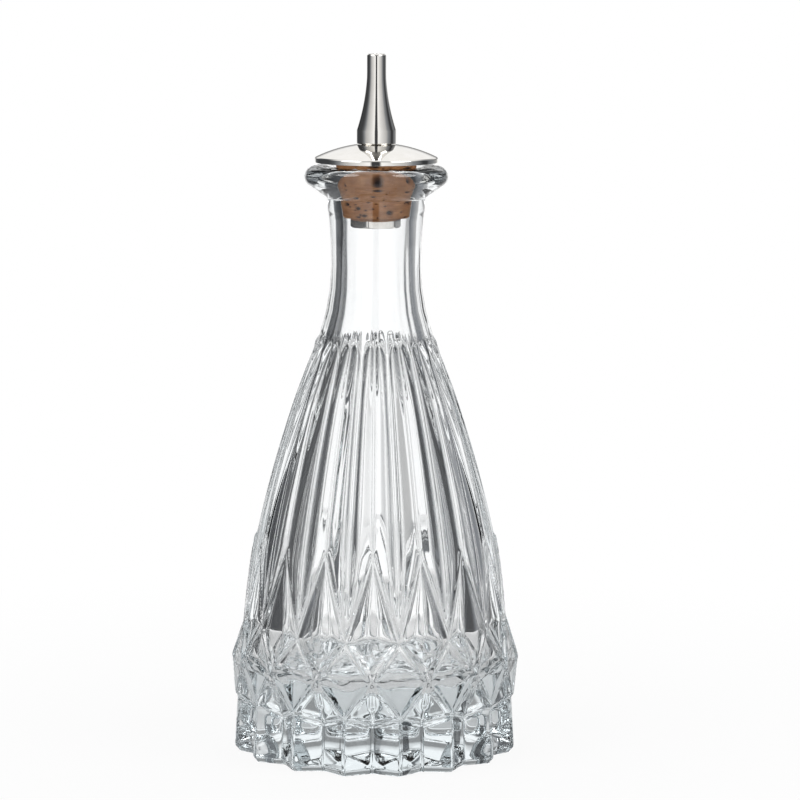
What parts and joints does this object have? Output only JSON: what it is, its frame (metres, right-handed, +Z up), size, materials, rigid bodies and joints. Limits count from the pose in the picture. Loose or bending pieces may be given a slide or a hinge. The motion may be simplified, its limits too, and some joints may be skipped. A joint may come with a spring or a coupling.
{
  "type": "bitters bottle",
  "caption": "Pressed glass bitters bottle with fluted shoulders, a diamond-cut belt and a toothed foot, closed by a cork stopper that carries a polished dasher spout.",
  "frame": {"origin": "centre of the foot, on the surface that the bottle stands on", "axes": "+Z up along the bottle's axis through the spout; -Y faces the picture's camera and holds the centre of a kite"},
  "size_m": [0.076, 0.076, 0.1862],
  "materials": {
    "clear_glass": "clear, fire polished",
    "cork": "natural cork with dark pores",
    "polished_steel": "mirror polished stainless steel",
    "turned_steel": "turned stainless steel"
  },
  "bodies": {
    "bottle": {"glass_bottle": "clear_glass"},
    "stopper": {"cork_stopper": "cork", "domed_disc": "polished_steel", "stem_tube": "turned_steel"},
    "spout": {"spout": "polished_steel"},
    "nut": {"hex_nut": "turned_steel"}
  },
  "joints": [
    {"name": "stopper_lift", "type": "slide", "parent": "bottle", "child": "stopper", "axis": [0, 0, 1], "range_m": [0, 0.05]},
    {"name": "spout_unscrew", "type": "hinge", "parent": "stopper", "child": "spout", "pos_m": [0, 0, 0.165], "axis": [0, 0, 1], "range_deg": [0, 1800]},
    {"name": "nut_unscrew", "type": "hinge", "parent": "stopper", "child": "nut", "pos_m": [0, 0, 0.142], "axis": [0, 0, -1], "range_deg": [0, 970]}
  ]
}
